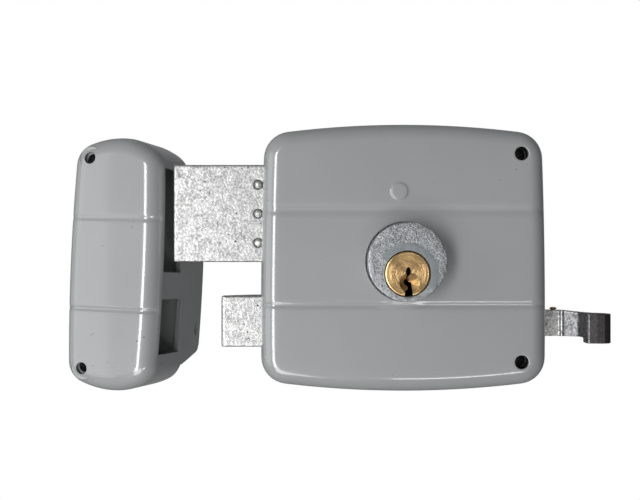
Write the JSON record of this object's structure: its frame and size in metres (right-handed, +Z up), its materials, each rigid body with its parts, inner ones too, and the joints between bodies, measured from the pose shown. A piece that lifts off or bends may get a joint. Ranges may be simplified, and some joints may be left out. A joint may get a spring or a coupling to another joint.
{
  "type": "rim night latch",
  "caption": "Surface-mounted door latch: painted case with key cylinder, thrown deadbolt, sprung latch bolt, finger pull and a separate box keeper.",
  "frame": {"origin": "the centre of the case's outline, on the plane where the back plate lies on the door face", "axes": "+Y into the door, -Y towards the room, +Z up, +X from the bolts towards the finger pull"},
  "size_m": [0.1946, 0.06, 0.0952],
  "materials": {
    "grey_enamel": "glossy grey stoved enamel",
    "zinc_casting": "mottled zinc die casting",
    "zinc_plate": "bright zinc plate",
    "brass": "turned brass",
    "steel": "plain steel",
    "spring_steel": "dark spring steel"
  },
  "bodies": {
    "case": {"case_cover": "grey_enamel", "back_plate": "zinc_plate", "forend_plate": "zinc_plate", "fixing_sleeve_upper": "steel", "fixing_sleeve_lower": "steel", "tail_guide_pin_left": "steel", "tail_guide_pin_right": "steel", "detent_pivot_pin": "steel", "cylinder_housing": "zinc_casting", "cylinder_post_left": "steel", "cylinder_post_right": "steel", "cylinder_screw_left": "steel", "cylinder_screw_right": "steel", "spring_cover_strip": "zinc_plate", "driver_pin_1": "brass", "driver_pin_2": "brass", "driver_pin_3": "brass", "driver_pin_4": "brass", "driver_pin_5": "brass", "pin_spring_1": "spring_steel", "pin_spring_2": "spring_steel", "pin_spring_3": "spring_steel", "pin_spring_4": "spring_steel", "pin_spring_5": "spring_steel", "latch_spring_bracket": "steel", "latch_spring": "spring_steel"},
    "plug": {"cylinder_plug": "brass", "plug_retaining_ring": "spring_steel", "drive_pinion": "steel", "key_pin_1": "brass", "key_pin_2": "brass", "key_pin_3": "brass", "key_pin_4": "brass", "key_pin_5": "brass"},
    "deadbolt": {"deadbolt_head": "zinc_casting", "deadbolt_tail": "steel", "deadbolt_rivet_upper": "zinc_plate", "deadbolt_rivet_middle": "zinc_plate", "deadbolt_rivet_lower": "zinc_plate"},
    "detent": {"detent_lever": "steel", "detent_spring": "spring_steel"},
    "latch": {"latch_head": "zinc_casting", "latch_rod": "zinc_plate", "pull_handle": "zinc_casting", "pull_rivet": "brass"},
    "keeper": {"keeper_shell": "grey_enamel", "keeper_side_plate": "grey_enamel", "keeper_back_plate": "grey_enamel"}
  },
  "joints": [
    {"name": "deadbolt_slide", "type": "slide", "parent": "case", "child": "deadbolt", "axis": [1, 0, 0], "range_m": [0, 0.0314]},
    {"name": "plug_turn", "type": "hinge", "parent": "case", "child": "plug", "pos_m": [0.0004, -0.02, -0.0053], "axis": [0, 1, 0], "range_deg": [0, 360]},
    {"name": "latch_slide", "type": "slide", "parent": "case", "child": "latch", "axis": [1, 0, 0], "range_m": [0, 0.013], "stiffness_N_per_m": 150, "springref_m": -0.02},
    {"name": "detent_lift", "type": "hinge", "parent": "case", "child": "detent", "pos_m": [0.018, -0.00645, 0.024], "axis": [0, 1, 0], "range_deg": [0, 6], "stiffness_Nm_per_rad": 0.05, "springref_deg": -11.46},
    {"name": "keeper_draw_away", "type": "slide", "parent": "case", "child": "keeper", "axis": [-1, 0, 0], "range_m": [0, 0.02]}
  ],
  "couplings": [
    {"joint": "plug_turn", "follows": "deadbolt_slide", "rad_per_m": 200}
  ]
}
